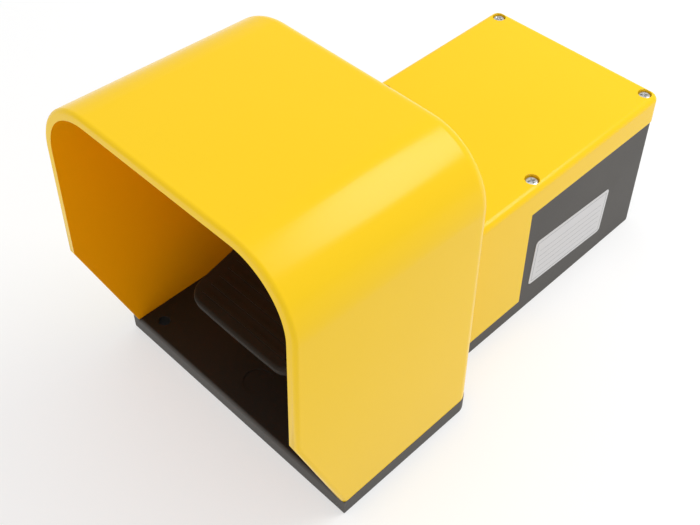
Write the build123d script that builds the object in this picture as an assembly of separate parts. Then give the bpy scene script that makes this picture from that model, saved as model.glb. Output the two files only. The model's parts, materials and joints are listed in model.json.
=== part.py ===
from build123d import *
import math
import os

# An industrial foot switch: a toe guard over a rear-hinged pedal, on a base whose tail is the wiring
# compartment. Lengths in millimetres, angles in degrees. While it is being drawn, y is 0 at the front edge
# of the base, +Y runs to the rear and z is 0 at the underside; the finished pieces move to the middle.

# Base tray
base_width = 160.0
foot_depth = 89.3
foot_corner_r = 8.0
foot_edge_r = 2.0
plate_thickness = 9.0
tail_width = 118.6
tail_corner_r = 5.5
side_draft = 1.47
tunnel_length = 65.1
tray_length = 107.9
tray_wall = 3.5
tray_floor = 4.0
tray_set_in = 0.3
gate_mark_r = 8.0
gate_mark_depth = 0.4
gate_mark_y = 18.0

# Holes for fixing to the floor
fixing_hole_r = 3.25
fixing_front_y = 9.0
fixing_spacing_y = 62.0
fixing_wall_gap = 10.1

# Toe guard
guard_height = 175.6
guard_overhang = 26.1
guard_slant_top = 79.3
guard_rim_lean = 1.9
guard_fall = 2.36
guard_draft = 0.56
guard_corner_r = 34.5
guard_wall = 4.8
guard_back_gap = 0.5
guard_back_lean = 0.7
guard_back_r = 7.5
guard_rim_r = 2.0
sill_drop = 8.0

# Rear cover
cover_height = 89.9
cover_skirt = 16.7
cover_lip = 0.6
cover_wall = 3.2
cover_edge_r = 4.0
cover_seam = 0.4
cover_seat_gap = 0.2

# Cover gasket and cover screws
gasket_width = 1.4
gasket_seat = 1.2
groove_clearance = 0.1
cover_screw_inset = 6.5
cover_screw_r = 1.75
cover_screw_head_r = 3.5
cover_screw_head_h = 2.2
cover_screw_grip = 18.0
pillar_r = 4.4

# Pedal
pedal_width = 72.4
pedal_lip_y = 5.9
pedal_roof_gap = 6.85
pedal_end = 0.7
pedal_slope = 15.2
pedal_depth = 5.6
pedal_skin = 3.5
pedal_corner_r = 10.0
pedal_bow = 0.5
pedal_edge_r = 2.2
pedal_side_gap = 6.0
tread_pitch = 5.7
tread_width = 2.0
tread_height = 0.7
tread_margin = 7.0
arm_spread = 44.0
arm_thickness = 4.0

# Pivot
pivot_setback = 26.4
pivot_drop = 27.9
pedal_travel = 12.0
hub_r = 10.0
hub_length = 54.0
shaft_r = 4.0
shaft_clearance = 0.04
bush_r = 6.0
bush_length = 12.0
bush_flange_r = 9.0
bush_flange = 2.7
ear_gap = 0.3
bracket_thickness = 2.5
bracket_lift = 6.0
bracket_reach = 16.0
clip_thickness = 0.9
clip_r = 6.6
clip_groove_r = 3.0
shaft_end = 3.0
shaft_chamfer = 0.7

# Finger, plunger and stops
plunger_height = 29.35
finger_r = 6.0
finger_width = 16.0
finger_bar = 36.0
stop_spacing = 26.0
stop_pad_r = 4.5
stop_pad = 3.2
rest_pad = 2.0
rest_pad_r = 5.0
stop_gap = 0.2
tongue_width = 18.0
rod_r = 3.5
rod_clearance = 0.05
rod_head_r = 5.5
rod_head = 3.0
nose_gap = 0.1
guide_r = 8.0
guide_length = 10.0
seal_r = 6.2
seal_length = 3.0

# Return spring
spring_ahead = 29.6
spring_r = 7.0
spring_wire = 2.0
spring_turns = 5.5
spring_seat_drop = 16.0
spigot_clearance = 0.5
spigot_height = 4.0
runs_per_turn = 16

# Contact block
block_setback = 11.6
block_length = 44.0
block_width = 42.0
block_wall = 4.0
block_lift = 10.0
block_rise = 12.65
block_lid = 2.5
block_lid_step = 1.5
lid_clearance = 0.2
block_ear = 7.4
block_ear_width = 36.0
block_screw_spacing = 28.0
block_screw_r = 1.5
block_screw_head_r = 3.0
block_screw_head_h = 2.0
block_rail = 4.2
carrier_side = 11.0
carrier_length = 19.9
tail_rod_r = 2.2
tail_rod = 19.0
return_wire = 1.0
return_turns = 5.0
bridge_span = 24.0
bridge_height = 5.0
bridge_thickness = 0.8
nc_strip_in = 6.3
bridge_pitch = 6.4
tip_r = 2.0
tip_height = 0.6
tip_spread = 18.0
contact_gap = 0.15
strip_thickness = 1.0
strip_height = 6.0
strip_inner = 6.5
slot_clearance = 0.1
shelf_depth = 10.0
terminal_length = 9.0
terminal_thickness = 1.2
terminal_screw_r = 1.6
terminal_screw_head_r = 3.0
terminal_screw_head_h = 2.0
terminal_screw_grip = 9.0

# Small screws
guard_screw_r = 1.25
guard_screw_head_r = 2.3
guard_screw_head_h = 2.0
guard_screw_grip = 10.0
guard_screw_sink = 3.0
guard_screw_front_y = 16.0
guard_screw_rear_y = 68.0
bracket_screw_r = 1.9
bracket_screw_head_r = 3.4
bracket_screw_head_h = 2.2
bracket_screw_grip = 9.0
bracket_screw_in = 8.5
bracket_rail = 5.2
hole_clearance = 0.15

# Cable entry
entry_r = 10.0
entry_boss_r = 14.0
entry_length = 12.0
entry_rise = 34.0

# Worked out from the above
cut = 1.0
base_half = base_width / 2
tail_half = tail_width / 2
draft_slope = math.tan(math.radians(side_draft))
guard_slope = math.tan(math.radians(guard_draft))
rim_slope = math.tan(math.radians(guard_rim_lean))
fall_slope = math.tan(math.radians(guard_fall))
back_slope = math.tan(math.radians(guard_back_lean))
pedal_rise = math.tan(math.radians(pedal_slope))
tray_front = foot_depth + tunnel_length
base_length = tray_front + tray_length
cover_rear = base_length + cover_lip
skirt_z = cover_height - cover_skirt
rim_height = skirt_z - cover_seat_gap
roof_z = cover_height - cover_wall
guard_foot_half = base_half - guard_slope * plate_thickness
guard_inner_half = guard_foot_half - guard_wall
guard_rim_y = rim_slope * (guard_height - guard_slant_top) - guard_overhang
opening_half = pedal_width / 2 + pedal_side_gap
opening_top = roof_z - cut
pivot_y = tray_front - pivot_setback
pivot_z = cover_height - pivot_drop
plunger_z = tray_floor + plunger_height
finger_reach = pivot_z - plunger_z
travel = finger_reach * math.radians(pedal_travel)
pedal_end_y = foot_depth + pedal_end
pedal_lip_z = roof_z - pedal_roof_gap - (pedal_end_y - pedal_lip_y) * pedal_rise
pedal_length = (pedal_end_y - pedal_lip_y) / math.cos(math.radians(pedal_slope))
hub_half = hub_length / 2
ear_x = hub_half + bush_flange + ear_gap
bracket_z = plate_thickness + bracket_lift
bracket_top = bracket_z + bracket_thickness
spring_y = pivot_y - spring_ahead
spring_seat_z = pivot_z - spring_seat_drop
spring_length = spring_seat_z - plate_thickness
sill_z = spring_seat_z - sill_drop
rod_y = pivot_y + finger_r + nose_gap
block_y = tray_front + block_setback
block_end = block_y + block_length
block_z = tray_floor + block_lift
block_top = plunger_z + block_rise
block_half = block_width / 2
chamber_y = block_y + block_wall
chamber_end = block_end - block_wall
carrier_y = chamber_y + nose_gap
carrier_end = carrier_y + carrier_length
nc_strip_y = chamber_y + nc_strip_in
nc_bridge_y = nc_strip_y + strip_thickness + 2 * tip_height + contact_gap
no_bridge_y = nc_bridge_y + bridge_pitch
no_strip_y = no_bridge_y + bridge_thickness + 2 * tip_height + contact_gap + travel
shelf_z = plunger_z - strip_height / 2
entry_z = tray_floor + entry_rise
screw_x = tail_half - draft_slope * cover_height - cover_screw_inset
cover_screw_spots = [
    (side * screw_x, y)
    for side in (-1, 1)
    for y in (tray_front + tray_wall + cut, cover_rear - cover_screw_inset)
]
fixing_x = guard_inner_half - fixing_wall_gap
fixing_spots = [
    (side * fixing_x, y)
    for side in (-1, 1)
    for y in (fixing_front_y, fixing_front_y + fixing_spacing_y)
]
guard_screw_x = guard_foot_half - guard_wall / 2
guard_screw_spots = [
    (side * guard_screw_x, y) for side in (-1, 1) for y in (guard_screw_front_y, guard_screw_rear_y)
]
bracket_front_row = pivot_y - bracket_reach
bracket_rear_row = pivot_y + bracket_reach
bracket_screw_spots = [
    (side * (ear_x - bracket_screw_in), y)
    for side in (-1, 1)
    for y in (bracket_front_row, bracket_rear_row)
]
block_front_row = block_y - block_ear / 2
block_rear_row = block_end + block_ear / 2
block_screw_spots = [
    (-block_screw_spacing / 2, block_front_row),
    (block_screw_spacing / 2, block_rear_row),
]
terminal_x = block_half + shelf_depth / 2
terminal_spots = [
    (side * terminal_x, y + terminal_length / 2)
    for side in (-1, 1)
    for y in (nc_strip_y, no_strip_y)
]


def block(x0, x1, y0, y1, z0, z1):
    return Pos(x0, y0, z0) * Box(x1 - x0, y1 - y0, z1 - z0, align=(Align.MIN, Align.MIN, Align.MIN))


def upright(r, length):
    return Cylinder(r, length, align=(Align.CENTER, Align.CENTER, Align.MIN))


def round_x(r, x0, x1, y, z):
    return Pos(x0, y, z) * Rot(0, 90, 0) * upright(r, x1 - x0)


def round_y(r, x, y0, y1, z):
    return Pos(x, y0, z) * Rot(-90, 0, 0) * upright(r, y1 - y0)


def round_z(r, x, y, z0, z1):
    return Pos(x, y, z0) * upright(r, z1 - z0)


def along_x(outline, x0, x1):
    return extrude(Plane.YZ.offset(x0) * outline, amount=x1 - x0)


def along_y(outline, y0, y1):
    return extrude(Plane.XZ.offset(-y1) * outline, amount=y1 - y0)


# The guard falls a little to the rear as it is drawn out
def along_fall(outline, y0, y1):
    fall = math.radians(guard_fall)
    way = (0, math.cos(fall), -math.sin(fall))
    return extrude(Plane.XZ.offset(-y0) * outline, amount=(y1 - y0) / math.cos(fall), dir=way)


def polygon(*points):
    return make_face(Polyline(*points, close=True))


# Where the guard's leaning back face is at a height
def guard_back_y(z):
    return foot_depth - guard_back_gap - back_slope * (z - plate_thickness)


# Height of the pedal's top face at a distance from the front
def pedal_top(y):
    return pedal_lip_z + (y - pedal_lip_y) * pedal_rise


# A block with the tail's drafted sides, set in from them, and with rounded rear corners
def tail_block(inset, y0, y1, z0, z1, corner_r):
    low = tail_half - inset - draft_slope * z0
    high = tail_half - inset - draft_slope * z1
    body = along_y(polygon((-low, z0), (low, z0), (high, z1), (-high, z1)), y0, y1)
    rear = [e for e in body.faces().sort_by(Axis.Y)[-1].edges() if abs(e.center().X) > low / 2]
    return fillet(rear, corner_r)


# A pan-head screw that points down from its seat, or up
def screw(x, y, seat, grip, r, head_r, head_h, up=False):
    body = round_z(head_r, 0, 0, 0, head_h) + round_z(r, 0, 0, -grip, 0)
    return Pos(x, y, seat) * (Rot(180, 0, 0) * body if up else body)


# A coil spring of square wire, wound as short straight runs and ground flat at both ends
def coil(r, wire, turns, length):
    runs = int(turns * runs_per_turn)
    pitch = (length - wire) / turns
    spots = [(step / runs_per_turn, math.tau * step / runs_per_turn) for step in range(runs + 1)]
    path = Polyline([(r * math.cos(turn), r * math.sin(turn), pitch * done) for done, turn in spots])
    section = Plane(path @ 0, z_dir=path % 0) * Rectangle(wire, wire)
    wound = sweep(section, path, transition=Transition.RIGHT)
    between = block(-2 * r, 2 * r, -2 * r, 2 * r, 0, length)
    return Pos(0, 0, wire / 2) * wound & between


def ring_in_rim(inset, width, z0, z1):
    front = tray_front + inset
    rear = base_length - inset
    outer = tail_block(tray_set_in + inset, front, rear, z0, z1, tail_corner_r - inset)
    hole_inset = inset + width
    hole_r = tail_corner_r - hole_inset
    inner = tail_block(tray_set_in + hole_inset, front + width, rear - width, z0, z1, hole_r)
    return outer - inner


def base_tray():
    foot = Pos(0, foot_depth / 2) * Rectangle(base_width, foot_depth)
    foot = fillet(foot.vertices().sort_by(Axis.Y)[-2:], foot_corner_r)
    body = extrude(foot, amount=plate_thickness)
    body += tail_block(tray_set_in, foot_depth / 2, base_length, 0, plate_thickness, tail_corner_r)
    tray = tail_block(tray_set_in, tray_front, base_length, 0, rim_height, tail_corner_r)
    body += tray
    wall = tray_set_in + tray_wall
    body -= tail_block(
        wall, tray_front + tray_wall, base_length - tray_wall, tray_floor, rim_height + cut,
        tail_corner_r - tray_wall,
    )
    for x, y in cover_screw_spots:
        body += round_z(pillar_r, x, y, tray_floor, rim_height) & tray
    body += round_y(entry_boss_r, 0, base_length - entry_length, base_length - tray_wall, entry_z)
    body += round_y(guide_r, 0, tray_front - guide_length, tray_front + cut, plunger_z)
    post_front = pivot_y + finger_r + travel + stop_gap + stop_pad
    for side in (-1, 1):
        body += round_y(stop_pad_r, side * stop_spacing / 2, post_front, tray_front + cut, plunger_z)
    for y in (bracket_front_row, bracket_rear_row):
        end = ear_x - bracket_screw_in + bracket_rail
        body += block(-end, end, y - bracket_rail, y + bracket_rail, plate_thickness - cut, bracket_z)
    for y in (block_front_row, block_rear_row):
        end = block_screw_spacing / 2 + block_rail
        body += block(-end, end, y - block_rail, y + block_rail, tray_floor - cut, block_z)
    spigot_r = spring_r - spring_wire / 2 - spigot_clearance
    body += round_z(spigot_r, 0, spring_y, plate_thickness - cut, plate_thickness + spigot_height)

    body -= round_y(entry_r, 0, base_length - entry_length - cut, base_length + cut, entry_z)
    body -= round_y(rod_r + rod_clearance, 0, 0, tray_front + tray_wall + cut, plunger_z)
    seal_end = tray_front - guide_length + seal_length
    body -= round_y(seal_r, 0, tray_front - guide_length - cut, seal_end, plunger_z)
    rim_inset = (tray_wall - gasket_width) / 2 - groove_clearance
    groove_width = gasket_width + 2 * groove_clearance
    body -= ring_in_rim(rim_inset, groove_width, rim_height - gasket_seat, rim_height + cut)
    edge_z = plate_thickness - foot_edge_r
    edge = block(-guard_inner_half, guard_inner_half, -cut, foot_edge_r, edge_z, plate_thickness + cut)
    body -= edge - round_x(foot_edge_r, -guard_inner_half, guard_inner_half, foot_edge_r, edge_z)
    body -= round_z(gate_mark_r, 0, gate_mark_y, plate_thickness - gate_mark_depth, plate_thickness + cut)
    for x, y in fixing_spots:
        body -= round_z(fixing_hole_r, x, y, -cut, plate_thickness + cut)
    for x, y in guard_screw_spots:
        body -= round_z(guard_screw_r + hole_clearance, x, y, -cut, plate_thickness + cut)
        body -= round_z(guard_screw_head_r + hole_clearance, x, y, -cut, guard_screw_sink)
    for x, y in cover_screw_spots:
        hole_end = rim_height - cover_screw_grip
        body -= round_z(cover_screw_r + hole_clearance, x, y, hole_end, rim_height + cut)
    for x, y in bracket_screw_spots:
        hole_end = bracket_z - bracket_screw_grip
        body -= round_z(bracket_screw_r + hole_clearance, x, y, hole_end, bracket_z + cut)
    for x, y in block_screw_spots:
        body -= round_z(block_screw_r + hole_clearance, x, y, tray_floor, block_z + cut)
    return body


# The guard's arch, set in from its outside, as it stands above the front of the overhang
def guard_arch(inset, foot_z):
    top = guard_height + fall_slope * (guard_rim_y + guard_overhang) - inset
    foot_half = base_half - guard_slope * foot_z - inset
    top_half = base_half - guard_slope * top - inset
    arch = polygon((-foot_half, foot_z), (foot_half, foot_z), (top_half, top), (-top_half, top))
    return fillet(arch.vertices().sort_by(Axis.Y)[-2:], guard_corner_r - inset)


def toe_guard():
    side = polygon(
        (0, plate_thickness), (guard_back_y(plate_thickness), plate_thickness),
        (guard_back_y(guard_height + cut), guard_height + cut),
        (guard_rim_y + rim_slope * cut, guard_height + cut), (-guard_overhang, guard_slant_top),
    )
    outside = along_fall(guard_arch(0, plate_thickness), -guard_overhang, foot_depth)
    body = outside & along_x(side, -base_half, base_half)
    back_face = body.faces().sort_by(Axis.Y)[-1]
    body = fillet([e for e in back_face.edges() if e.center().Z > plate_thickness + cut], guard_back_r)
    front_edges = [edge for face in body.faces().sort_by(Axis.Y)[:2] for edge in face.edges()]
    rim_low = guard_slant_top + cut
    outer_rim = [e for e in front_edges if abs(e.center().X) > cut or e.center().Z > rim_low]
    body = fillet(outer_rim, guard_rim_r)
    hollow_side = polygon(
        (-guard_overhang - cut, 0), (guard_back_y(0) - guard_wall, 0),
        (guard_back_y(guard_height) - guard_wall, guard_height), (-guard_overhang - cut, guard_height),
    )
    inside = along_fall(guard_arch(guard_wall, 0), -guard_overhang - cut, foot_depth)
    body -= inside & along_x(hollow_side, -base_half, base_half)
    body -= block(-opening_half, opening_half, 0, foot_depth + cut, sill_z, opening_top)
    for x, y in guard_screw_spots:
        body -= round_z(guard_screw_r + hole_clearance, x, y, 0, plate_thickness + guard_screw_grip + cut)
    return body


def rear_cover():
    front = guard_back_y(cover_height) - cut
    body = tail_block(0, front, cover_rear, plate_thickness, cover_height, tail_corner_r)
    tunnel_end = tray_front - cover_seam
    side = polygon(
        (guard_back_y(plate_thickness) + cover_seat_gap, plate_thickness), (tunnel_end, plate_thickness),
        (tunnel_end, skirt_z), (cover_rear + cut, skirt_z), (cover_rear + cut, cover_height),
        (guard_back_y(cover_height) + cover_seat_gap, cover_height),
    )
    body &= along_x(side, -base_half, base_half)
    top_edges = body.faces().sort_by(Axis.Z)[-1].edges().sort_by(Axis.Y)[1:]
    shell = fillet(top_edges, cover_edge_r)
    inner_r = tail_corner_r - cover_wall
    cross_wall = tray_front + tray_wall
    shell -= tail_block(cover_wall, 0, tray_front, 0, roof_z, inner_r)
    shell -= tail_block(cover_wall, cross_wall, cover_rear - cover_wall, rim_height - cut, roof_z, inner_r)
    for x, y in cover_screw_spots:
        shell += round_z(pillar_r, x, y, skirt_z, roof_z + cut) & body
    for x, y in cover_screw_spots:
        seat = cover_height - cover_screw_head_h - hole_clearance
        shell -= round_z(cover_screw_r + 2 * hole_clearance, x, y, 0, cover_height)
        shell -= round_z(cover_screw_head_r + 2 * hole_clearance, x, y, seat, cover_height + cut)
    return shell


def cover_gasket():
    return ring_in_rim((tray_wall - gasket_width) / 2, gasket_width, rim_height - gasket_seat, skirt_z)


def cover_screws():
    seat = cover_height - cover_screw_head_h - hole_clearance
    grip = seat - rim_height + cover_screw_grip - cut
    return [
        screw(x, y, seat, grip, cover_screw_r, cover_screw_head_r, cover_screw_head_h)
        for x, y in cover_screw_spots
    ]


def guard_screws():
    grip = plate_thickness - guard_screw_sink + guard_screw_grip
    return [
        screw(x, y, guard_screw_sink, grip, guard_screw_r, guard_screw_head_r, guard_screw_head_h, up=True)
        for x, y in guard_screw_spots
    ]


def pedal():
    half = pedal_width / 2
    front = ThreePointArc((-half, pedal_bow), (0, 0), (half, pedal_bow))
    rest = Polyline((half, pedal_bow), (half, pedal_length), (-half, pedal_length), (-half, pedal_bow))
    outline = make_face(front + rest)
    outline = fillet(outline.vertices().sort_by(Axis.Y)[:2], pedal_corner_r)
    plate = extrude(outline, amount=-pedal_depth)
    top_edges = plate.faces().sort_by(Axis.Z)[-1].edges().sort_by(Axis.Y)[:-1]
    plate = fillet(top_edges, pedal_edge_r)
    under = offset(outline, amount=-pedal_skin)
    plate -= Pos(0, 0, -pedal_depth - cut) * extrude(under, amount=pedal_depth - pedal_skin + cut)
    tread_half = half - tread_margin
    first = pedal_bow + tread_pitch
    count = int((pedal_length - first - 2 * tread_pitch) // tread_pitch)
    for step in range(count):
        y = first + step * tread_pitch
        plate += block(-tread_half, tread_half, y, y + tread_width, -tread_height, tread_height)
    body = Pos(0, pedal_lip_y, pedal_lip_z) * Rot(pedal_slope, 0, 0) * plate

    skin_drop = pedal_skin / 2
    arm_start = pedal_end_y - pedal_length / 2
    arm = polygon(
        (arm_start, pedal_top(arm_start) - skin_drop - tread_height),
        (pedal_end_y - pedal_skin / 2, pedal_top(pedal_end_y) - skin_drop - pedal_skin),
        (pivot_y, pivot_z + hub_r - tread_height), (pivot_y, pivot_z),
        (spring_y, spring_seat_z + pedal_skin),
    )
    for x in (-arm_spread / 2, 0, arm_spread / 2):
        body += along_x(arm, x - arm_thickness / 2, x + arm_thickness / 2)
    cup_r = spring_r + spring_wire
    body += round_z(cup_r, 0, spring_y, spring_seat_z, spring_seat_z + 2 * cup_r)
    spigot_r = spring_r - spring_wire / 2 - spigot_clearance
    body += round_z(spigot_r, 0, spring_y, spring_seat_z - spigot_height, spring_seat_z + cut)
    body += round_x(hub_r, -hub_half, hub_half, pivot_y, pivot_z)
    half_finger = finger_width / 2
    body += block(-half_finger, half_finger, pivot_y - finger_r, pivot_y + finger_r, plunger_z, pivot_z)
    body += round_x(finger_r, -finger_bar / 2, finger_bar / 2, pivot_y, plunger_z)
    body -= round_x(shaft_r + 4 * hole_clearance, -hub_half - cut, hub_half + cut, pivot_y, pivot_z)
    for x0, x1 in ((-hub_half - cut, bush_length - hub_half), (hub_half - bush_length, hub_half + cut)):
        body -= round_x(bush_r, x0, x1, pivot_y, pivot_z)
    return body


def pivot_bushes():
    pair = []
    for side in (-1, 1):
        inner = side * (hub_half - bush_length)
        face = side * hub_half
        outer = side * (hub_half + bush_flange)
        sleeve = round_x(bush_r, min(inner, face), max(inner, face), pivot_y, pivot_z)
        sleeve += round_x(bush_flange_r, min(face, outer), max(face, outer), pivot_y, pivot_z)
        bore = round_x(shaft_r + shaft_clearance, -hub_length, hub_length, pivot_y, pivot_z)
        pair.append(sleeve - bore)
    return pair


def pivot_bracket():
    outer_x = ear_x + bracket_thickness
    margin = bracket_screw_in / 2
    front = bracket_front_row - margin
    body = block(-outer_x, outer_x, front, bracket_rear_row + margin, bracket_z, bracket_top)
    ear = polygon(
        (bracket_front_row, bracket_z), (bracket_rear_row, bracket_z),
        (pivot_y + hub_r, pivot_z), (pivot_y - hub_r, pivot_z),
    )
    ear += Pos(pivot_y, pivot_z) * Circle(hub_r)
    for x in (-outer_x, ear_x):
        body += along_x(ear, x, x + bracket_thickness)
    tongue_back = pivot_y - finger_r - stop_gap - rest_pad
    half = tongue_width / 2
    tongue_top = plunger_z + rest_pad_r + bracket_thickness
    body += block(-half, half, tongue_back - bracket_thickness, tongue_back, bracket_z, tongue_top)
    body -= round_x(shaft_r + shaft_clearance, -outer_x - cut, outer_x + cut, pivot_y, pivot_z)
    for x, y in bracket_screw_spots:
        body -= round_z(bracket_screw_r + hole_clearance, x, y, bracket_z - cut, bracket_top + cut)
    return body


def bracket_screws():
    grip = bracket_thickness + bracket_screw_grip - cut
    return [
        screw(x, y, bracket_top, grip, bracket_screw_r, bracket_screw_head_r, bracket_screw_head_h)
        for x, y in bracket_screw_spots
    ]


def clip_x():
    return ear_x + bracket_thickness + ear_gap


def pivot_shaft():
    end = clip_x() + clip_thickness + shaft_end
    body = round_x(shaft_r, -end, end, pivot_y, pivot_z)
    body = chamfer(body.edges().filter_by(GeomType.CIRCLE), shaft_chamfer)
    for x in (-clip_x() - clip_thickness - hole_clearance, clip_x() - hole_clearance):
        groove = round_x(shaft_r + cut, x, x + clip_thickness + 2 * hole_clearance, pivot_y, pivot_z)
        body -= groove - round_x(clip_groove_r, -end, end, pivot_y, pivot_z)
    return body


def shaft_clips():
    pair = []
    for x in (-clip_x() - clip_thickness, clip_x()):
        body = round_x(clip_r, x, x + clip_thickness, pivot_y, pivot_z)
        groove_end = x + clip_thickness + cut
        body -= round_x(clip_groove_r + shaft_clearance, x - cut, groove_end, pivot_y, pivot_z)
        mouth = clip_groove_r
        body -= block(x - cut, x + clip_thickness + cut, pivot_y - mouth, pivot_y + mouth, 0, pivot_z)
        pair.append(body)
    return pair


def return_spring():
    return Pos(0, spring_y, plate_thickness) * coil(spring_r, spring_wire, spring_turns, spring_length)


def rest_stop_pad():
    face = pivot_y - finger_r - stop_gap
    return round_y(rest_pad_r, 0, face - rest_pad, face, plunger_z)


def end_stop_pads():
    face = pivot_y + finger_r + travel + stop_gap
    return [
        round_y(stop_pad_r, side * stop_spacing / 2, face, face + stop_pad, plunger_z) for side in (-1, 1)
    ]


def plunger_seal():
    front = tray_front - guide_length
    body = round_y(seal_r, 0, front, front + seal_length, plunger_z)
    return body - round_y(rod_r + rod_clearance, 0, front - cut, tray_front, plunger_z)


def contact_plunger():
    head = round_y(rod_head_r, 0, rod_y, rod_y + rod_head, plunger_z)
    head = chamfer(head.edges().sort_by(Axis.Y)[0], rod_head / 3)
    body = head + round_y(rod_r, 0, rod_y, carrier_y + cut, plunger_z)
    half = carrier_side / 2
    body += block(-half, half, carrier_y, carrier_end, plunger_z - half, plunger_z + half)
    body += round_y(tail_rod_r, 0, carrier_end - cut, carrier_end + tail_rod, plunger_z)
    slot = bridge_height / 2 + slot_clearance
    for y in (nc_bridge_y, no_bridge_y):
        body -= block(-half - cut, half + cut, y, y + bridge_thickness, plunger_z - slot, plunger_z + slot)
    return body


# A bridge contact with a tip at each end, on its front face or its rear face
def bridge(y, tips_in_front):
    half = bridge_span / 2
    z = bridge_height / 2
    body = block(-half, half, y, y + bridge_thickness, plunger_z - z, plunger_z + z)
    tip_y = y - tip_height if tips_in_front else y + bridge_thickness
    for x in (-tip_spread / 2, tip_spread / 2):
        body += round_y(tip_r, x, tip_y, tip_y + tip_height, plunger_z)
    return body


# A pair of fixed contacts: a strip through each side wall, with its tip and its screw pad
def terminals(y, tips_in_front):
    pair = []
    tip_y = y - tip_height if tips_in_front else y + strip_thickness
    for side in (-1, 1):
        strip_end = block_half + terminal_thickness
        pad_end = block_half + shelf_depth - cut
        ends = sorted((side * strip_inner, side * strip_end))
        pad = sorted((side * block_half, side * pad_end))
        z = strip_height / 2
        body = block(ends[0], ends[1], y, y + strip_thickness, plunger_z - z, plunger_z + z)
        body += block(pad[0], pad[1], y, y + terminal_length, shelf_z, shelf_z + terminal_thickness)
        body += round_y(tip_r, side * tip_spread / 2, tip_y, tip_y + tip_height, plunger_z)
        hole_r = terminal_screw_r + hole_clearance
        body -= round_z(hole_r, side * terminal_x, y + terminal_length / 2, 0, block_top)
        pair.append(body)
    return pair


def terminal_screws():
    grip = terminal_thickness + terminal_screw_grip
    seat = shelf_z + terminal_thickness
    return [
        screw(x, y, seat, grip, terminal_screw_r, terminal_screw_head_r, terminal_screw_head_h)
        for x, y in terminal_spots
    ]


def contact_block_body():
    body = block(-block_half, block_half, block_y, block_end, block_z, block_top)
    body = fillet(body.edges().filter_by(Axis.Z), cut)
    ear = block_ear_width / 2
    body += block(-ear, ear, block_y - block_ear, block_end + block_ear, block_z, block_z + block_wall)
    for x, y in terminal_spots:
        y0 = y - terminal_length / 2 - slot_clearance
        y1 = y + terminal_length / 2 + slot_clearance
        side = block_half + shelf_depth
        body += block(min(0, 2 * x), max(0, 2 * x), y0, y1, block_z + block_wall, shelf_z) & block(
            -side, side, y0, y1, block_z, shelf_z
        )
    room = block_half - block_wall
    body -= block(-room, room, chamber_y, chamber_end, block_z + block_wall, block_top + cut)
    body -= round_y(rod_r + rod_clearance, 0, block_y - cut, chamber_y + cut, plunger_z)
    body -= round_y(tail_rod_r + rod_clearance, 0, chamber_end - cut, block_end + cut, plunger_z)
    z = strip_height / 2
    for y in (nc_strip_y, no_strip_y):
        body -= block(
            -block_half - cut, block_half + cut, y - slot_clearance, y + strip_thickness + slot_clearance,
            plunger_z - z, plunger_z + z + slot_clearance,
        )
    for x, y in block_screw_spots:
        body -= round_z(block_screw_r + hole_clearance, x, y, block_z - cut, block_z + block_wall + cut)
    for x, y in terminal_spots:
        deep = shelf_z - terminal_screw_grip - cut
        body -= round_z(terminal_screw_r + hole_clearance, x, y, deep, shelf_z + cut)
    return body


def contact_block_lid():
    body = block(-block_half, block_half, block_y, block_end, block_top, block_top + block_lid)
    body = fillet(body.edges().filter_by(Axis.Z), cut)
    room = block_half - block_wall - lid_clearance
    y0 = chamber_y + lid_clearance
    y1 = chamber_end - lid_clearance
    return body + block(-room, room, y0, y1, block_top - block_lid_step, block_top)


def contact_block_screws():
    seat = block_z + block_wall
    grip = seat - tray_floor - cut
    return [
        screw(x, y, seat, grip, block_screw_r, block_screw_head_r, block_screw_head_h)
        for x, y in block_screw_spots
    ]


def plunger_spring():
    length = chamber_end - carrier_end
    r = tail_rod_r + return_wire
    return Pos(0, carrier_end, plunger_z) * Rot(-90, 0, 0) * coil(r, return_wire, return_turns, length)


pieces = {
    "base_tray": base_tray(),
    "toe_guard": toe_guard(),
    "guard_screws": guard_screws(),
    "rear_cover": rear_cover(),
    "cover_gasket": cover_gasket(),
    "cover_screws": cover_screws(),
    "pedal": pedal(),
    "pivot_bushes": pivot_bushes(),
    "pivot_bracket": pivot_bracket(),
    "bracket_screws": bracket_screws(),
    "pivot_shaft": pivot_shaft(),
    "shaft_clips": shaft_clips(),
    "return_spring": return_spring(),
    "rest_stop_pad": rest_stop_pad(),
    "end_stop_pads": end_stop_pads(),
    "plunger_seal": plunger_seal(),
    "contact_plunger": contact_plunger(),
    "plunger_spring": plunger_spring(),
    "nc_bridge": bridge(nc_bridge_y, True),
    "no_bridge": bridge(no_bridge_y, False),
    "nc_terminals": terminals(nc_strip_y, False),
    "no_terminals": terminals(no_strip_y, True),
    "terminal_screws": terminal_screws(),
    "contact_block_body": contact_block_body(),
    "contact_block_lid": contact_block_lid(),
    "contact_block_screws": contact_block_screws(),
}

# The origin is on the floor under the middle of the whole switch
middle = Pos(0, (guard_overhang - cover_rear) / 2, 0)
os.makedirs("parts", exist_ok=True)
for name, piece in pieces.items():
    solids = piece if isinstance(piece, list) else [piece]
    export_step(Compound([middle * s for body in solids for s in body.solids()]), f"parts/{name}.step")
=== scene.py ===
import json
import math
import bmesh
import bpy
from mathutils import Matrix, Vector


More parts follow.
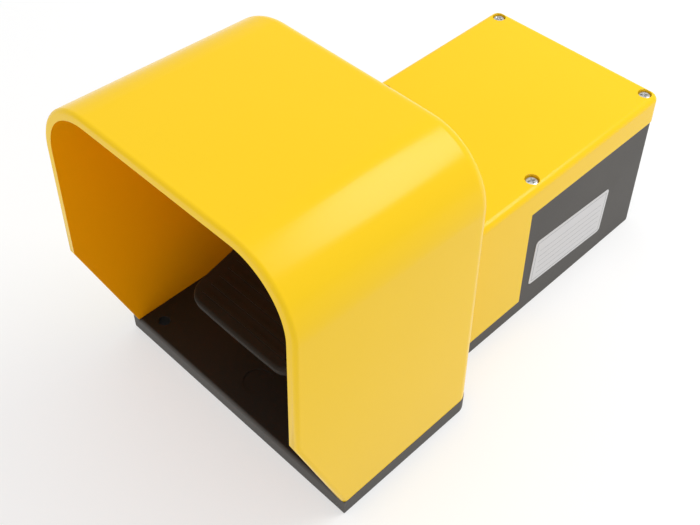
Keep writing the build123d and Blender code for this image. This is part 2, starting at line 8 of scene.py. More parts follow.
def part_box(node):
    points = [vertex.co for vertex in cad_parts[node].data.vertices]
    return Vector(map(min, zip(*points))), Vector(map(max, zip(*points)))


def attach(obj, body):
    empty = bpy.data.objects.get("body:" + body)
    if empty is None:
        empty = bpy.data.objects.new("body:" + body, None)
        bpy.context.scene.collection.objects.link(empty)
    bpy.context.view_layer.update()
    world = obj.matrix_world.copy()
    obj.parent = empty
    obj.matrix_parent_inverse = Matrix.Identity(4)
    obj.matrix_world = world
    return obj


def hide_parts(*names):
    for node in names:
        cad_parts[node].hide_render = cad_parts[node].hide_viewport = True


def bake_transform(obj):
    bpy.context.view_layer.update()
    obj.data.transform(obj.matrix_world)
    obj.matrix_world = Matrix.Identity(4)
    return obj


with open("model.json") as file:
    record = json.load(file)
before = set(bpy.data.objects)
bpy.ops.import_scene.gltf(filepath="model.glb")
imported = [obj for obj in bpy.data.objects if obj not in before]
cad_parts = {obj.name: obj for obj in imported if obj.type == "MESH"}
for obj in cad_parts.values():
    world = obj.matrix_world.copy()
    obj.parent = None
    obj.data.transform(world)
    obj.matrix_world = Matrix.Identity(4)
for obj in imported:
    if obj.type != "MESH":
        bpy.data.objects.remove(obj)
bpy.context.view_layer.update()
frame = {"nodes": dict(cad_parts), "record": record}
nodes = frame["nodes"]
scene = bpy.context.scene
mm = 0.001
middle = 118.4  # the base's front edge is this far ahead of the frame's origin, mm
mergeGap = 0.001 * mm  # points closer than this are one point


class Wire:  # a socket of a material's node tree, so that shader maths reads as sums
    def __init__(self, tree, socket=None):
        self.tree = tree
        self.socket = socket

    def node(self, kind, settings=None, sockets=None, out=0):
        made = self.tree.nodes.new(kind)
        for name, value in (settings or {}).items():
            if name == "stops":
                setStops(made.color_ramp, value)
            else:
                setattr(made, name, value)
        for key, value in (sockets or {}).items():
            join(self.tree, made.inputs[key], value)
        return Wire(self.tree, made.outputs[out])

    def maths(self, operation, first, second):
        return self.node("ShaderNodeMath", {"operation": operation}, {0: first, 1: second})

    def __add__(self, other):
        return self.maths("ADD", self, other)

    def __radd__(self, other):
        return self.maths("ADD", other, self)

    def __sub__(self, other):
        return self.maths("SUBTRACT", self, other)

    def __rsub__(self, other):
        return self.maths("SUBTRACT", other, self)

    def __mul__(self, other):
        return self.maths("MULTIPLY", self, other)

    def __rmul__(self, other):
        return self.maths("MULTIPLY", other, self)

    def __gt__(self, other):
        return self.maths("GREATER_THAN", self, other)

    def __lt__(self, other):
        return self.maths("LESS_THAN", self, other)

    def __abs__(self):
        return self.maths("ABSOLUTE", self, 0.0)


def setStops(ramp, stops):
    while len(ramp.elements) < len(stops):
        ramp.elements.new(1.0)
    for element, (place, grey) in zip(ramp.elements, stops):
        element.position = place
        element.color = (grey, grey, grey, 1)


def join(tree, target, value):
    if isinstance(value, Wire):
        tree.links.new(value.socket, target)
    else:
        target.default_value = value


def newMaterial(name):
    material = bpy.data.materials.new(name)
    material.use_nodes = True
    shader = material.node_tree.nodes["Principled BSDF"]
    return material, shader, Wire(material.node_tree)


def places(wire):  # points of the piece itself, in metres
    return wire.node("ShaderNodeTexCoord", out="Object")


def axisOf(wire, vector, name):
    return wire.node("ShaderNodeSeparateXYZ", None, {"Vector": vector}, out=name)


def sideOf(wire):  # distance from the middle plane, in metres
    return abs(axisOf(wire, places(wire), "X"))


def depthOf(wire):  # distance behind the base's front edge, in metres
    return axisOf(wire, places(wire), "Y") + middle * mm


def noise(wire, scale, detail=2.0, rough=0.5, stretch=(1, 1, 1)):
    spots = wire.node("ShaderNodeVectorMath", {"operation": "MULTIPLY"}, {0: places(wire), 1: stretch})
    sockets = {"Vector": spots, "Scale": scale, "Detail": detail, "Roughness": rough}
    return wire.node("ShaderNodeTexNoise", None, sockets)


def ramp(wire, value, *stops):
    return wire.node("ShaderNodeValToRGB", {"stops": stops}, {"Fac": value})


def blendColours(wire, factor, first, second):
    first = first if isinstance(first, Wire) else (*first, 1)
    second = second if isinstance(second, Wire) else (*second, 1)
    return wire.node("ShaderNodeMix", {"data_type": "RGBA"}, {"Factor": factor, 6: first, 7: second}, out=2)


def bump(wire, height, strength, distance):
    return wire.node("ShaderNodeBump", None, {"Height": height, "Strength": strength, "Distance": distance})


speckEdges = ((0.66, 0), (0.74, 1))  # where the noise turns into specks and stains
stainEdges = ((0.58, 0), (0.78, 1))


# moulded plastic: a colour with a slow drift, a fine grain and a roughness that is never quite even
def mouldedPlastic(name, look):
    material, shader, wire = newMaterial(name)
    drift = noise(wire, look["driftScale"], detail=3.0)
    colour = blendColours(wire, drift, look["dark"], look["light"])
    # painted shade: a deeper orange on the hood's inner faces, for the shade and the yellow light that
    # bounces inside the hood
    if "inside" in look:
        shadedInner = blendColours(wire, drift, look["inside"]["dark"], look["inside"]["light"])
        colour = blendColours(wire, innerShadeMask(wire, look["inside"]), colour, shadedInner)
    # painted shade: the floor under the toe guard is darkened
    if "floor" in look:
        colour = blendColours(wire, guardShadeMask(wire, look["floor"]), colour, look["floor"]["colour"])
    specks = ramp(wire, noise(wire, look["speckScale"], detail=1.0), *speckEdges)
    colour = blendColours(wire, look["specks"] * specks, colour, look["speckColour"])
    grain = noise(wire, look["grainScale"])
    sheen = noise(wire, look["sheenScale"], detail=4.0, rough=0.6)
    join(wire.tree, shader.inputs["Base Color"], colour)
    join(wire.tree, shader.inputs["Roughness"], look["rough"] + look["roughDrift"] * (sheen - 0.5))
    join(wire.tree, shader.inputs["Normal"], bump(wire, grain, look["grain"], look["grainDepth"]))
    shader.inputs["IOR"].default_value = look["ior"]
    shader.inputs["Specular IOR Level"].default_value = look["gloss"]
    # painted reflection where a look gives a tint: its reflections are warmed
    shader.inputs["Specular Tint"].default_value = (*look.get("tint", (1, 1, 1)), 1)
    return material


# painted shade: this mask picks the hood's inner faces for their deeper orange
def innerShadeMask(wire, inside):  # 1 on the hood's faces that look towards its middle
    centre = tuple(c * mm for c in inside["centre"])
    away = wire.node("ShaderNodeVectorMath", {"operation": "SUBTRACT"}, {0: places(wire), 1: centre})
    facing = wire.node("ShaderNodeTexCoord", out="Normal")
    product = {"operation": "DOT_PRODUCT"}
    outward = wire.node("ShaderNodeVectorMath", product, {0: facing, 1: away}, out="Value")
    return (outward < 0.0) * (depthOf(wire) < inside["rear"] * mm)


# painted shade: this mask picks the floor that the toe guard shades
def guardShadeMask(wire, floor):  # 1 on the floor under the toe guard, fading out over its rounded front edge
    depth = depthOf(wire)
    height = axisOf(wire, places(wire), "Z")
    rise = (1 / floor["fade"] / mm) * (depth - floor["front"] * mm)
    fade = wire.node("ShaderNodeClamp", None, {"Value": rise})
    within = (sideOf(wire) < floor["half"] * mm) * (depth < floor["rear"] * mm)
    return fade * within * (height > floor["low"] * mm)


yellowLook = {
    "dark": (0.86, 0.552, 0.009), "light": (0.90, 0.582, 0.011), "driftScale": 9.0,
    "speckScale": 420.0, "specks": 0.02, "speckColour": (0.60, 0.33, 0.004),
    "grainScale": 1500.0, "grain": 0.03, "grainDepth": 0.0002,
    "sheenScale": 35.0, "rough": 0.20, "roughDrift": 0.05, "ior": 1.45, "gloss": 0.20,
    # painted shade: the deeper orange of the hood's inner faces
    "inside": {
        "centre": (0, -88.4, 60.0), "rear": 89.55,  # mm
        "dark": (0.90, 0.385, 0.001), "light": (0.94, 0.410, 0.001),
    },
}
darkLook = {
    "dark": (0.064, 0.060, 0.056), "light": (0.081, 0.076, 0.070), "driftScale": 30.0,
    "speckScale": 900.0, "specks": 0.25, "speckColour": (0.035, 0.033, 0.031),
    "grainScale": 2200.0, "grain": 0.22, "grainDepth": 0.0003,
    "sheenScale": 60.0, "rough": 0.55, "roughDrift": 0.12, "ior": 1.45, "gloss": 0.34,
    # painted reflection: the warm specular tint warms the base's reflections
    "tint": (1.0, 0.96, 0.90),
    # painted shade: a near-black colour for the floor under the toe guard
    "floor": {
        "front": 0.3, "fade": 1.4, "rear": 84.0, "half": 75.6, "low": 0.2,  # mm
        "colour": (0.014, 0.012, 0.010),
    },
}
pedalLook = {
    "dark": (0.013, 0.0095, 0.006), "light": (0.019, 0.0145, 0.009), "driftScale": 40.0,
    "speckScale": 900.0, "specks": 0.3, "speckColour": (0.023, 0.020, 0.017),
    "grainScale": 2600.0, "grain": 0.25, "grainDepth": 0.0003,
    "sheenScale": 80.0, "rough": 0.50, "roughDrift": 0.12, "ior": 1.45, "gloss": 0.16,
    # painted reflection: the warm specular tint warms the pedal's reflections
    "tint": (1.0, 0.85, 0.75),
}
bushLook = {
    "dark": (0.72, 0.70, 0.62), "light": (0.80, 0.78, 0.71), "driftScale": 60.0,
    "speckScale": 1500.0, "specks": 0.08, "speckColour": (0.5, 0.48, 0.42),
    "grainScale": 3000.0, "grain": 0.08, "grainDepth": 0.0002,
    "sheenScale": 150.0, "rough": 0.38, "roughDrift": 0.1, "ior": 1.48, "gloss": 0.5,
}
blockLook = {
    "dark": (0.045, 0.046, 0.050), "light": (0.062, 0.063, 0.068), "driftScale": 50.0,
    "speckScale": 1200.0, "specks": 0.3, "speckColour": (0.10, 0.10, 0.10),
    "grainScale": 3000.0, "grain": 0.15, "grainDepth": 0.0002,
    "sheenScale": 120.0, "rough": 0.46, "roughDrift": 0.1, "ior": 1.5, "gloss": 0.45,
}
lidLook = {
    "dark": (0.52, 0.52, 0.49), "light": (0.60, 0.60, 0.57), "driftScale": 50.0,
    "speckScale": 1400.0, "specks": 0.1, "speckColour": (0.36, 0.36, 0.34),
    "grainScale": 3000.0, "grain": 0.12, "grainDepth": 0.0002,
    "sheenScale": 120.0, "rough": 0.42, "roughDrift": 0.1, "ior": 1.5, "gloss": 0.45,
}
plungerLook = {
    "dark": (0.62, 0.045, 0.025), "light": (0.72, 0.065, 0.035), "driftScale": 80.0,
    "speckScale": 1600.0, "specks": 0.1, "speckColour": (0.4, 0.02, 0.012),
    "grainScale": 3000.0, "grain": 0.08, "grainDepth": 0.0002,
    "sheenScale": 150.0, "rough": 0.36, "roughDrift": 0.1, "ior": 1.48, "gloss": 0.5,
}
rubberLook = {
    "dark": (0.014, 0.014, 0.014), "light": (0.030, 0.029, 0.028), "driftScale": 120.0,
    "speckScale": 2000.0, "specks": 0.4, "speckColour": (0.055, 0.053, 0.050),
    "grainScale": 4000.0, "grain": 0.35, "grainDepth": 0.0002,
    "sheenScale": 200.0, "rough": 0.78, "roughDrift": 0.12, "ior": 1.5, "gloss": 0.3,
}


# metal: fine marks along one direction, a cloudy plating and a little staining
def workedMetal(name, look):
    material, shader, wire = newMaterial(name)
    cloud = noise(wire, look["cloudScale"], detail=3.0)
    colour = blendColours(wire, cloud, look["dark"], look["light"])
    stain = ramp(wire, noise(wire, look["stainScale"], detail=4.0, rough=0.65), *stainEdges)
    colour = blendColours(wire, look["stain"] * stain, colour, look["stainColour"])
    marks = noise(wire, look["markScale"], rough=0.6, stretch=look["markStretch"])
    join(wire.tree, shader.inputs["Base Color"], colour)
    join(wire.tree, shader.inputs["Roughness"], look["rough"] + look["roughDrift"] * (marks - 0.5))
    join(wire.tree, shader.inputs["Normal"], bump(wire, marks, look["marks"], look["markDepth"]))
    shader.inputs["Metallic"].default_value = 1.0
    return material


zincLook = {
    "dark": (0.56, 0.57, 0.58), "light": (0.74, 0.74, 0.73), "cloudScale": 260.0,
    "stain": 0.35, "stainScale": 500.0, "stainColour": (0.62, 0.58, 0.46),
    "markScale": 900.0, "markStretch": (1, 1, 1), "marks": 0.12, "markDepth": 0.0001,
    "rough": 0.30, "roughDrift": 0.16,
}
brightLook = {
    "dark": (0.52, 0.52, 0.53), "light": (0.66, 0.66, 0.66), "cloudScale": 160.0,
    "stain": 0.2, "stainScale": 400.0, "stainColour": (0.40, 0.37, 0.33),
    "markScale": 500.0, "markStretch": (12, 1, 1), "marks": 0.10, "markDepth": 0.00008,
    "rough": 0.22, "roughDrift": 0.14,
}
springLook = {
    "dark": (0.30, 0.30, 0.31), "light": (0.44, 0.44, 0.45), "cloudScale": 300.0,
    "stain": 0.4, "stainScale": 600.0, "stainColour": (0.20, 0.18, 0.16),
    "markScale": 1200.0, "markStretch": (1, 1, 3), "marks": 0.15, "markDepth": 0.0001,
    "rough": 0.34, "roughDrift": 0.16,
}
brassLook = {
    "dark": (0.62, 0.43, 0.15), "light": (0.78, 0.57, 0.24), "cloudScale": 240.0,
    "stain": 0.45, "stainScale": 500.0, "stainColour": (0.38, 0.24, 0.08),
    "markScale": 900.0, "markStretch": (1, 6, 1), "marks": 0.12, "markDepth": 0.0001,
    "rough": 0.28, "roughDrift": 0.16,
}

finishes = {
    "yellow_shell": mouldedPlastic("yellowPlastic", yellowLook),
    "dark_base": mouldedPlastic("darkPlastic", darkLook),
    "pedal_black": mouldedPlastic("pedalPlastic", pedalLook),
    "zinc_steel": workedMetal("zincPlate", zincLook),
    "bright_steel": workedMetal("groundSteel", brightLook),
    "spring_steel": workedMetal("springWire", springLook),
    "rubber": mouldedPlastic("blackRubber", rubberLook),
    "bush_plastic": mouldedPlastic("bushPlastic", bushLook),
    "block_plastic": mouldedPlastic("blockPlastic", blockLook),
    "lid_plastic": mouldedPlastic("lidPlastic", lidLook),
    "plunger_plastic": mouldedPlastic("plungerPlastic", plungerLook),
    "contact_brass": workedMetal("contactBrass", brassLook),
}
for part in frame["record"]["subparts"]:
    mesh = nodes[part["node"]].data
    mesh.materials.clear()
    mesh.materials.append(finishes[part["material_slot"]])
print("materials made")

# edges of the mouldings are softened a little
softEdges = {
    "widths": {"toe_guard": 0.5, "rear_cover": 0.35, "base_tray": 0.4, "pedal": 0.3},  # mm
    "weld": 0.005, "segments": 2, "angle": 35, "flatWeight": 100,
}


def soften(piece, width, look):
    weld = piece.modifiers.new("weld", "WELD")
    weld.merge_threshold = look["weld"] * mm
    bevel = piece.modifiers.new("bevel", "BEVEL")
    bevel.width = width * mm
    bevel.segments = look["segments"]
    bevel.limit_method = "ANGLE"
    bevel.angle_limit = math.radians(look["angle"])
    even = piece.modifiers.new("even", "WEIGHTED_NORMAL")  # keeps the flats flat beside the rounded edges
    even.mode = "FACE_AREA"
    even.weight = look["flatWeight"]


for name, width in softEdges["widths"].items():
    soften(nodes[name], width, softEdges)
print("edges softened")


def addPiece(name, mesh, body, slot):  # a piece given no body is left unattached
    piece = bpy.data.objects.new(name, mesh)
    scene.collection.objects.link(piece)
    mesh.materials.append(finishes[slot])
    if body:
        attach(piece, body)
    return piece


def meshOf(name, rings, smooth=True):  # a closed mesh through rings of points, given in mm
    vertices, faces = tube(rings)
    mesh = bpy.data.meshes.new(name)
    mesh.from_pydata([tuple(c * mm for c in vertex) for vertex in vertices], [], faces)
    mesh.validate()
    shaped = bmesh.new()
    shaped.from_mesh(mesh)
    bmesh.ops.remove_doubles(shaped, verts=shaped.verts, dist=mergeGap)
    bmesh.ops.recalc_face_normals(shaped, faces=shaped.faces)
    shaped.to_mesh(mesh)
    shaped.free()
    for face in mesh.polygons:
        face.use_smooth = smooth
    return mesh


def tube(rings):  # quads between rings of points, with caps at the ends
    count = len(rings[0])
    vertices = [point for ring in rings for point in ring]
    faces = []
    for step in range(len(rings) - 1):
        for turn in range(count):
            ahead = (turn + 1) % count
            low, high = step * count, (step + 1) * count
            faces.append((low + turn, low + ahead, high + ahead, high + turn))
    faces.append(tuple(range(count - 1, -1, -1)))
    faces.append(tuple(range(len(vertices) - count, len(vertices))))
    return vertices, faces


def circle(r, z, count):
    angles = [math.tau * k / count for k in range(count)]
    return [(r * math.cos(angle), r * math.sin(angle), z) for angle in angles]


screwShape = {  # what all screws share
    "segments": 28, "rowsPerTurn": 4,
    "threadDepth": 0.16, "tipLength": 1.6, "tipR": 0.55,  # shares of the shank's radius
    "headSide": 0.45, "recessDepth": 0.80,  # shares of the head's height
    "domeIn": 0.38, "flatR": 0.3, "recessWidth": 0.32, "recessReach": 0.70,  # shares of the head's radius
    "domeSteps": (0.25, 0.5, 0.75, 0.95),  # shares of a quarter turn
    "recessFootLong": 0.45, "recessFootWide": 0.8,  # shares of the recess's mouth
    "recessOver": 0.1,  # how far the cutter stands above the head, mm
    "turnStep": 67, "sharpAngle": 32,  # degrees
}


# one screw with a domed head above z = 0, a rolled thread below it and a cross recess in the head, mm
def screwMesh(name, look, shape):
    segments = shape["segments"]
    head, height, shank = look["headR"], look["headH"], look["shankR"]
    rings = []
    length, pitch = look["length"], look["pitch"]
    rows = int(length / pitch * shape["rowsPerTurn"])
    tip = shape["tipLength"] * shank
    for row in range(rows + 1):  # the thread is a small wave that goes round as it goes up
        z = -length + length * row / rows
        ring = []
        for k in range(segments):
            wave = abs(((z / pitch - k / segments) % 1.0) * 2 - 1)
            fade = min(1.0, (z + length) / tip, max(0.0, -z) / pitch)
            taper = min(1.0, shape["tipR"] + (1 - shape["tipR"]) * (z + length) / tip)
            r = shank * (1 - shape["threadDepth"] * wave * fade) * taper
            ring.append((r * math.cos(math.tau * k / segments), r * math.sin(math.tau * k / segments), z))
        rings.append(ring)
    rings.append(circle(head, 0, segments))
    side = shape["headSide"]
    rings.append(circle(head, side * height, segments))
    for part in shape["domeSteps"]:
        angle = part * math.pi / 2
        r = head * (1 - shape["domeIn"] * (1 - math.cos(angle)))
        rings.append(circle(r, height * (side + (1 - side) * math.sin(angle)), segments))
    rings.append(circle(shape["flatR"] * head, height, segments))
    return cutRecess(name, meshOf(name, rings), look, shape)


def cutRecess(name, mesh, look, shape):
    wide = shape["recessWidth"] * look["headR"] / 2 * mm
    arm = shape["recessReach"] * look["headR"] * mm
    deep = shape["recessDepth"] * look["headH"] * mm
    top = look["headH"] * mm
    over = top + shape["recessOver"] * mm
    footLong, footWide = shape["recessFootLong"], shape["recessFootWide"]
    cutter = bmesh.new()
    for angle in (0, math.pi / 2):
        turn = Matrix.Rotation(angle, 4, "Z")
        corners = [(-arm, -wide), (arm, -wide), (arm, wide), (-arm, wide)]
        foot = [Vector((footLong * x, footWide * y, top - deep)) for x, y in corners]
        mouth = [Vector((x, y, over)) for x, y in corners]
        low = [cutter.verts.new(turn @ point) for point in foot]
        high = [cutter.verts.new(turn @ point) for point in mouth]
        cutter.faces.new(low[::-1])
        cutter.faces.new(high)
        for k in range(4):
            cutter.faces.new((low[k], low[(k + 1) % 4], high[(k + 1) % 4], high[k]))
    bmesh.ops.recalc_face_normals(cutter, faces=cutter.faces)
    tool = bpy.data.meshes.new(name + "Tool")
    cutter.to_mesh(tool)
    cutter.free()
    whole = bpy.data.objects.new(name + "Whole", mesh)
    toolPiece = bpy.data.objects.new(name + "Tool", tool)
    for made in (whole, toolPiece):
        scene.collection.objects.link(made)
    trim = whole.modifiers.new("recess", "BOOLEAN")
    trim.operation = "DIFFERENCE"
    trim.solver = "EXACT"
    trim.use_self = True
    trim.object = toolPiece
    bpy.context.view_layer.update()
    graph = bpy.context.evaluated_depsgraph_get()
    cut = bpy.data.meshes.new_from_object(whole.evaluated_get(graph))
    bpy.data.objects.remove(whole)
    bpy.data.objects.remove(toolPiece)
    return cut


# the screws of one node: at the corners of its box, or on one diagonal of it
def addScrews(node, look, shape):
    low, high = (Vector(corner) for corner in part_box(node))
    reach = look["headR"] * mm
    single = screwMesh(node + "One", look, shape)
    drop = (look["headH"] + look["sink"]) * mm  # from the end of the box to the head's seat
    seat = low.z + drop if look["up"] else high.z - drop
    spots = [(x, y) for x in (low.x + reach, high.x - reach) for y in (low.y + reach, high.y - reach)]
    if look["diagonal"]:
        spots = [spots[0], spots[3]]
    every = bmesh.new()
    for count, (x, y) in enumerate(spots):
        copy = single.copy()
        turn = Matrix.Rotation(math.radians(look["firstTurn"] + shape["turnStep"] * count), 4, "Z")
        flip = Matrix.Rotation(math.pi, 4, "X") if look["up"] else Matrix.Identity(4)
        copy.transform(Matrix.Translation((x, y, seat)) @ flip @ turn)
        every.from_mesh(copy)
        bpy.data.meshes.remove(copy)
    mesh = bpy.data.meshes.new(look["name"])
    every.to_mesh(mesh)
    every.free()
    bpy.data.meshes.remove(single)
    for face in mesh.polygons:
        face.use_smooth = True
    mesh.set_sharp_from_angle(angle=math.radians(shape["sharpAngle"]))
    mesh.materials.clear()
    piece = addPiece(look["name"], mesh, "housing", "zinc_steel")
    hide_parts(node)


# lengths in mm, the turn in degrees
def screwLook(name, headR, headH, shankR, length, pitch, turn, sink=0.0, up=False, diagonal=False):
    return {
        "name": name, "headR": headR, "headH": headH, "shankR": shankR, "length": length, "pitch": pitch,
        "firstTurn": turn, "sink": sink, "up": up, "diagonal": diagonal,
    }


screws = {
    "cover_screws": screwLook("coverScrews", 3.5, 1.4, 1.75, 31.0, 1.2, 20, sink=0.8),
    "guard_screws": screwLook("guardScrews", 2.3, 2.0, 1.25, 15.9, 0.9, 35, up=True),
    "bracket_screws": screwLook("bracketScrews", 3.4, 2.2, 1.9, 10.4, 1.2, 50),
    "contact_block_screws": screwLook("contactBlockScrews", 3.0, 2.0, 1.5, 12.0, 1.0, 10, diagonal=True),
    "terminal_screws": screwLook("terminalScrews", 3.0, 2.0, 1.6, 10.1, 0.8, 75),
}
for node, look in screws.items():
    low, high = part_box(node)
    look["length"] = min(look["length"], (high[2] - low[2]) / mm - look["headH"] - look["sink"])
    addScrews(node, look, screwShape)
print("screws made")


# a spring of round wire with closed ends that are ground flat, mm
def springMesh(name, look):
    r, wire, length, turns = look["r"], look["wire"] / 2, look["length"], look["turns"]
    dead = look["deadTurns"]
    steps = int(turns * look["stepsPerTurn"])
    active = (length - 2 * wire - 2 * dead * 2 * wire) / (turns - 2 * dead)
    rings = []
    for step in range(steps + 1):
        done = turns * step / steps
        below = min(done, dead)
        above = max(0.0, done - (turns - dead))
        z = wire + (below + above) * 2 * wire + (done - below - above) * active
        angle = math.tau * done
        out = Vector((math.cos(angle), math.sin(angle), 0))
        ring = []
        for k in range(look["sides"]):
            bend = math.tau * k / look["sides"]
            point = out * (r + wire * math.cos(bend)) + Vector((0, 0, z + wire * math.sin(bend)))
            point.z = min(max(point.z, 0.0), length)
            ring.append(tuple(point))
        rings.append(ring)
    return meshOf(name, rings)


returnSpring = {
    "r": 7.0, "wire": 2.0, "turns": 7.0, "deadTurns": 0.9, "stepsPerTurn": 28, "sides": 12,
}
plungerSpring = {
    "r": 3.4, "wire": 0.9, "turns": 6.5, "deadTurns": 0.9, "stepsPerTurn": 24, "sides": 10,
}


def addReturnSpring(look):
    low, high = (Vector(corner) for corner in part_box("return_spring"))
    centre = (low + high) / 2
    look["length"] = (high.z - low.z) / mm
    mesh = springMesh("returnSpringCoil", look)
    mesh.transform(Matrix.Translation((centre.x, centre.y, low.z)))
    piece = addPiece("returnSpringCoil", mesh, None, "spring_steel")
    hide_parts("return_spring")
    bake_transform(piece)


def addPlungerSpring(look):
    low, high = (Vector(corner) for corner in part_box("plunger_spring"))
    centre = (low + high) / 2
    look["length"] = (high.y - low.y) / mm
    mesh = springMesh("plungerSpringCoil", look)
    mesh.transform(Matrix.Translation((centre.x, high.y, centre.z)) @ Matrix.Rotation(math.pi / 2, 4, "X"))
    piece = addPiece("plungerSpringCoil", mesh, None, "spring_steel")
    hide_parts("plunger_spring")
    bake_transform(piece)


addReturnSpring(returnSpring)
addPlungerSpring(plungerSpring)
print("springs made")

# bare rating plate on the right wall of the wiring compartment, with ruled lines only
plateLook = {
    "corners": ((162.5, 47.6), (227.7, 43.8), (226.9, 12.7), (161.0, 16.8)),  # y and z on the wall, mm
    "wallX": 59.0, "wallSlope": 0.02566, "thick": 0.25, "cornerR": 2.2, "cornerSteps": 6,
    "ink": (0.16, 0.16, 0.17), "paper": (0.62, 0.61, 0.61), "paperDark": (0.56, 0.55, 0.555),
    "edge": ((0, -0.02), (0, 0.6), (0.12, 1.0)),  # inset in mm, and height as a share of the thickness
    "rule": 0.35, "frameIn": 2.0, "rows": (9.0, 13.0, 17.0, 21.0, 25.0), "rowIn": 3.0, "rowShare": 0.7,
    "inked": 0.85, "fibreScale": 900.0, "fibreStretch": (1, 8, 1), "fibreBump": 0.05, "fibreDepth": 0.0001,
    "rough": 0.34, "roughDrift": 0.14,
}


def addPlate(look):
    quad = [Vector((y - middle, z)) for y, z in look["corners"]]
    centre = sum(quad, Vector((0, 0))) / 4
    along = ((quad[1] - quad[0]) + (quad[2] - quad[3])).normalized()
    wide = ((quad[1] - quad[0]).length + (quad[2] - quad[3]).length) / 4
    tall = ((quad[0] - quad[3]).length + (quad[1] - quad[2]).length) / 4
    outline = []
    for quarter, side in enumerate(((1, 1), (-1, 1), (-1, -1), (1, -1))):
        for step in range(look["cornerSteps"] + 1):
            angle = math.pi / 2 * (quarter + step / look["cornerSteps"])
            outline.append((
                side[0] * (wide - look["cornerR"]) + look["cornerR"] * math.cos(angle),
                side[1] * (tall - look["cornerR"]) + look["cornerR"] * math.sin(angle),
            ))
    rings = []
    for inset, lift in look["edge"]:
        rings.append([
            (u * (1 - inset / wide), v * (1 - inset / tall), lift * look["thick"]) for u, v in outline
        ])
    mesh = meshOf("ratingPlate", rings, smooth=False)
    lean = math.atan(look["wallSlope"])
    across = Vector((0, along.x, along.y))
    out = Vector((math.cos(lean), 0, math.sin(lean)))
    across = (across - out * across.dot(out)).normalized()
    up = out.cross(across)
    wall = Vector((look["wallX"] - look["wallSlope"] * centre.y, centre.x, centre.y)) * mm
    axes = Matrix((across, up, out)).transposed().to_4x4()
    piece = bpy.data.objects.new("ratingPlate", mesh)
    piece.matrix_world = Matrix.Translation(wall) @ axes
    scene.collection.objects.link(piece)
    mesh.materials.append(printedFilm(look, wide, tall))
    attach(piece, "housing")


def printedFilm(look, wide, tall):
    material, shader, wire = newMaterial("printedFilm")
    u = axisOf(wire, places(wire), "X")
    v = axisOf(wire, places(wire), "Y")
    fibres = noise(wire, look["fibreScale"], detail=3.0, rough=0.6, stretch=look["fibreStretch"])
    paper = blendColours(wire, fibres, look["paperDark"], look["paper"])
    half = look["rule"] / 2 * mm
    right = (wide - look["frameIn"]) * mm
    high = (tall - look["frameIn"]) * mm
    inside = (abs(u) < right + half) * (abs(v) < high + half)
    hollow = (abs(u) < right - half) * (abs(v) < high - half)
    lines = inside - hollow
    for row in look["rows"]:
        place = (tall - row) * mm
        near = abs(v - place) < half * look["rowShare"]
        lines = wire.maths("MAXIMUM", lines, near * (abs(u) < right - look["rowIn"] * mm))
    colour = blendColours(wire, look["inked"] * lines, paper, look["ink"])
    join(wire.tree, shader.inputs["Base Color"], colour)
    join(wire.tree, shader.inputs["Roughness"], look["rough"] + look["roughDrift"] * fibres)
    join(wire.tree, shader.inputs["Normal"], bump(wire, fibres, look["fibreBump"], look["fibreDepth"]))
    return material


addPlate(plateLook)
print("plate made")

# thread in the mouth of the cable entry
entryLook = {
    "r": 10.0, "height": 0.6, "pitch": 1.5, "start": 250.9, "end": 261.7, "z": 38.0,  # mm
    "stepsPerTurn": 40, "fadeTurns": 0.5,
    "root": -0.05,  # share of the height, below the bore's face
    "halfRoot": 0.45, "halfCrest": 0.08,  # shares of the pitch
}


def addEntryThread(look):
    turns = (look["end"] - look["start"]) / look["pitch"] - 1
    steps = int(turns * look["stepsPerTurn"])
    root, halfRoot, halfCrest = look["root"], look["halfRoot"], look["halfCrest"]
    profile = ((-halfRoot, root), (-halfCrest, 1.0), (halfCrest, 1.0), (halfRoot, root))
    rings = []
    for step in range(steps + 1):
        done = turns * step / steps
        angle = math.tau * done
        fade = min(1.0, done / look["fadeTurns"], (turns - done) / look["fadeTurns"])
        y = look["start"] + look["pitch"] * (done + 0.5) - middle
        ring = []
        for shift, rise in profile:
            r = look["r"] - look["height"] * max(rise * fade, root)
            ring.append((r * math.cos(angle), y + shift * look["pitch"], look["z"] + r * math.sin(angle)))
        rings.append(ring)
    addPiece("entryThread", meshOf("entryThread", rings, smooth=False), "housing", "dark_base")


addEntryThread(entryLook)
print("entry thread made")

# camera at the photograph's place
cameraLook = {
    "place": (0.2534, -0.29276, 0.43433), "azimuth": 44.537, "elevation": 46.902, "roll": 0.668,
    "lens": 53.42, "sensor": 36.0, "nearest": 0.01,
}


def addCamera(look):
    data = bpy.data.cameras.new("camera")
    data.sensor_width = look["sensor"]
    data.lens = look["lens"]
    data.clip_start = look["nearest"]
    around = math.radians(look["azimuth"])
    up = math.radians(look["elevation"])
    roll = math.radians(look["roll"])
    back = Vector((math.sin(around) * math.cos(up), -math.cos(around) * math.cos(up), math.sin(up)))
    right = Vector((math.cos(around), math.sin(around), 0))
    above = back.cross(right)
    turned = right * math.cos(roll) + above * math.sin(roll)
    upward = above * math.cos(roll) - right * math.sin(roll)
    camera = bpy.data.objects.new("camera", data)
    axes = Matrix((turned, upward, back)).transposed().to_4x4()
    camera.matrix_world = Matrix.Translation(look["place"]) @ axes
    scene.collection.objects.link(camera)
    scene.camera = camera


addCamera(cameraLook)
print("camera set")

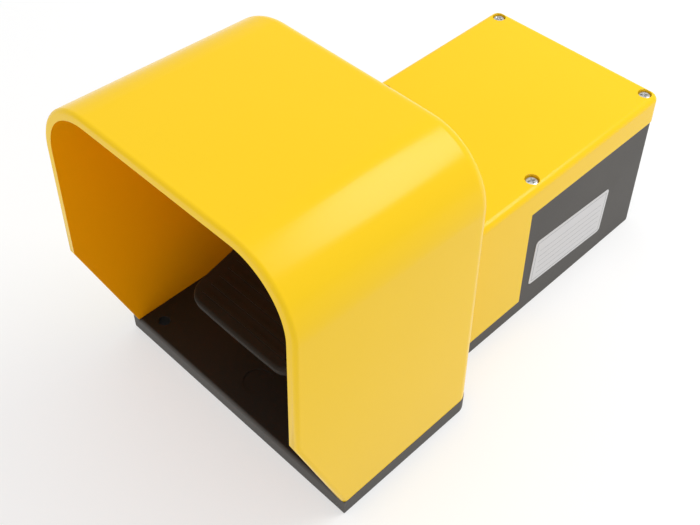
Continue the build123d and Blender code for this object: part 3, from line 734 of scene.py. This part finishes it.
# pale floor and soft studio light
studio = {
    "floorR": 9.0, "floorSides": 96, "floorLow": -0.0003,  # metres
    "floorColour": (0.43, 0.43, 0.43), "floorRough": 0.9, "floorGlow": 0.52, "world": 0.72,
    # painted shadow: the ground under the foot glows at half strength
    "under": {"half": 78.0, "front": 2.0, "rear": 86.0, "glow": (0.5, 0.5, 0.5)},  # the foot's ground, mm
}


# painted shadow: this mask picks the ground under the foot, where the floor's glow is cut
def footShadowMask(wire, under):  # 1 on the ground that the foot covers, which glows less through its holes
    depth = depthOf(wire)
    within = (depth > under["front"] * mm) * (depth < under["rear"] * mm)
    return within * (sideOf(wire) < under["half"] * mm)


def addStudio(look):
    mesh = bpy.data.meshes.new("floor")
    rim = circle(look["floorR"], look["floorLow"], look["floorSides"])
    mesh.from_pydata(rim, [], [tuple(range(len(rim)))])
    floor = bpy.data.objects.new("floor", mesh)
    scene.collection.objects.link(floor)
    material, shader, wire = newMaterial("paleFloor")
    shader.inputs["Base Color"].default_value = (*look["floorColour"], 1)
    shader.inputs["Roughness"].default_value = look["floorRough"]
    # painted shadow: the floor glows less under the foot
    glow = blendColours(wire, footShadowMask(wire, look["under"]), (1, 1, 1), look["under"]["glow"])
    join(wire.tree, shader.inputs["Emission Color"], glow)
    shader.inputs["Emission Strength"].default_value = look["floorGlow"]  # a table lit from below
    mesh.materials.append(material)
    world = bpy.data.worlds.new("studio")
    world.use_nodes = True
    background = world.node_tree.nodes["Background"]
    background.inputs["Color"].default_value = (1, 1, 1, 1)
    background.inputs["Strength"].default_value = look["world"]
    scene.world = world
    scene.view_settings.view_transform = "Standard"


addStudio(studio)

lamps = {
    "strip": {"place": (0.49, 0.82, 1.17), "turn": (0, 0, 14), "wide": 1.25, "tall": 0.54, "power": 13.0},
    "overhead": {"place": (-0.25, 0.0, 1.6), "turn": (0, 0, 0), "wide": 1.2, "tall": 1.2, "power": 2.6},
    "front": {"place": (0.0, -1.3, 0.45), "turn": (90, 0, 0), "wide": 1.2, "tall": 0.6, "power": 1.7},
}


def addLamp(name, look):
    data = bpy.data.lights.new(name, "AREA")
    data.shape = "ELLIPSE"
    data.size = look["wide"]
    data.size_y = look["tall"]
    data.energy = look["power"]
    lamp = bpy.data.objects.new(name, data)
    lamp.location = look["place"]
    lamp.rotation_euler = [math.radians(angle) for angle in look["turn"]]  # unturned, it shines down
    scene.collection.objects.link(lamp)


for name, look in lamps.items():
    addLamp(name, look)
print("studio set")
